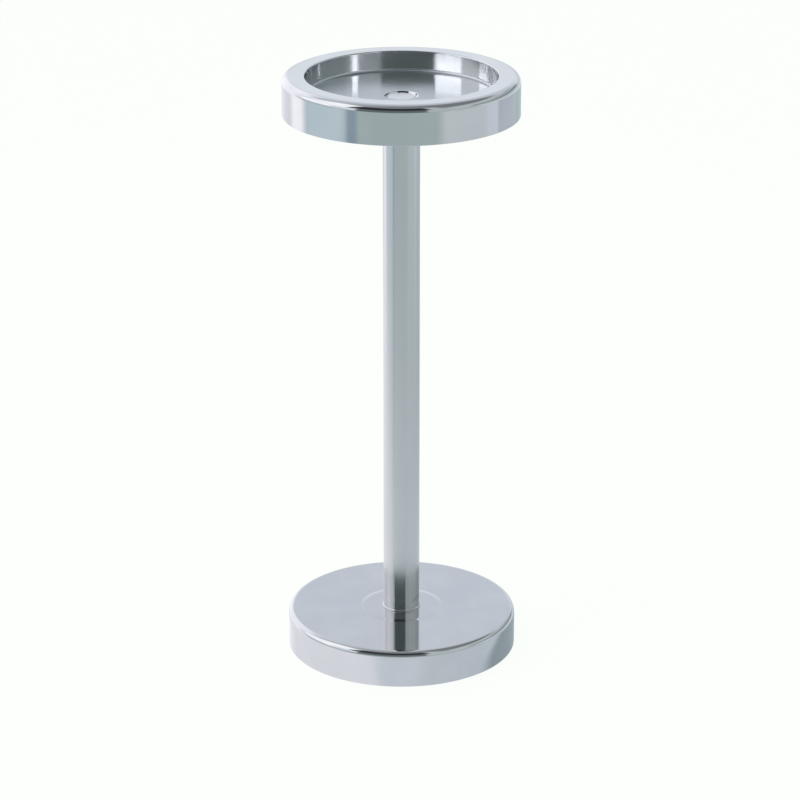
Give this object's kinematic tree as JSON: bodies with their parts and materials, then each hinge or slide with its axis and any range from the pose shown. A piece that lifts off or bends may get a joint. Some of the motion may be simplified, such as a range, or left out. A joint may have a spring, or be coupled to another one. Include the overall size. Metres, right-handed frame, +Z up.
{
  "type": "champagne bucket stand",
  "caption": "Round dish with a recess for a bucket's foot, on a single straight pole with a weighted drum base.",
  "frame": {"origin": "centre of the footprint, on the floor", "axes": "+Z up along the pole; the stand is round, so +X and +Y only place the feet and the dowel pins"},
  "size_m": [0.24, 0.24, 0.62],
  "materials": {
    "polished_steel": "mirror-polished stainless steel",
    "turned_steel": "turned and polished stainless steel",
    "plated_steel": "zinc plated",
    "satin_steel": "satin stainless sheet",
    "cast_iron": "as cast, black primer",
    "rubber": "moulded"
  },
  "bodies": {
    "root": {"dish_shell": "polished_steel", "cap_nut": "turned_steel", "support_plate": "plated_steel", "pole_socket": "plated_steel", "dish_underplate": "satin_steel", "underplate_screws": "plated_steel", "pole_tube": "polished_steel", "tie_rod": "plated_steel", "foot_spigot": "turned_steel", "dowel_pins": "plated_steel", "base_shell": "polished_steel", "ballast": "cast_iron", "flat_washer": "plated_steel", "spring_washer": "plated_steel", "hex_nut": "plated_steel", "bottom_plate": "satin_steel", "rubber_feet": "rubber", "foot_screws": "plated_steel"}
  },
  "joints": []
}
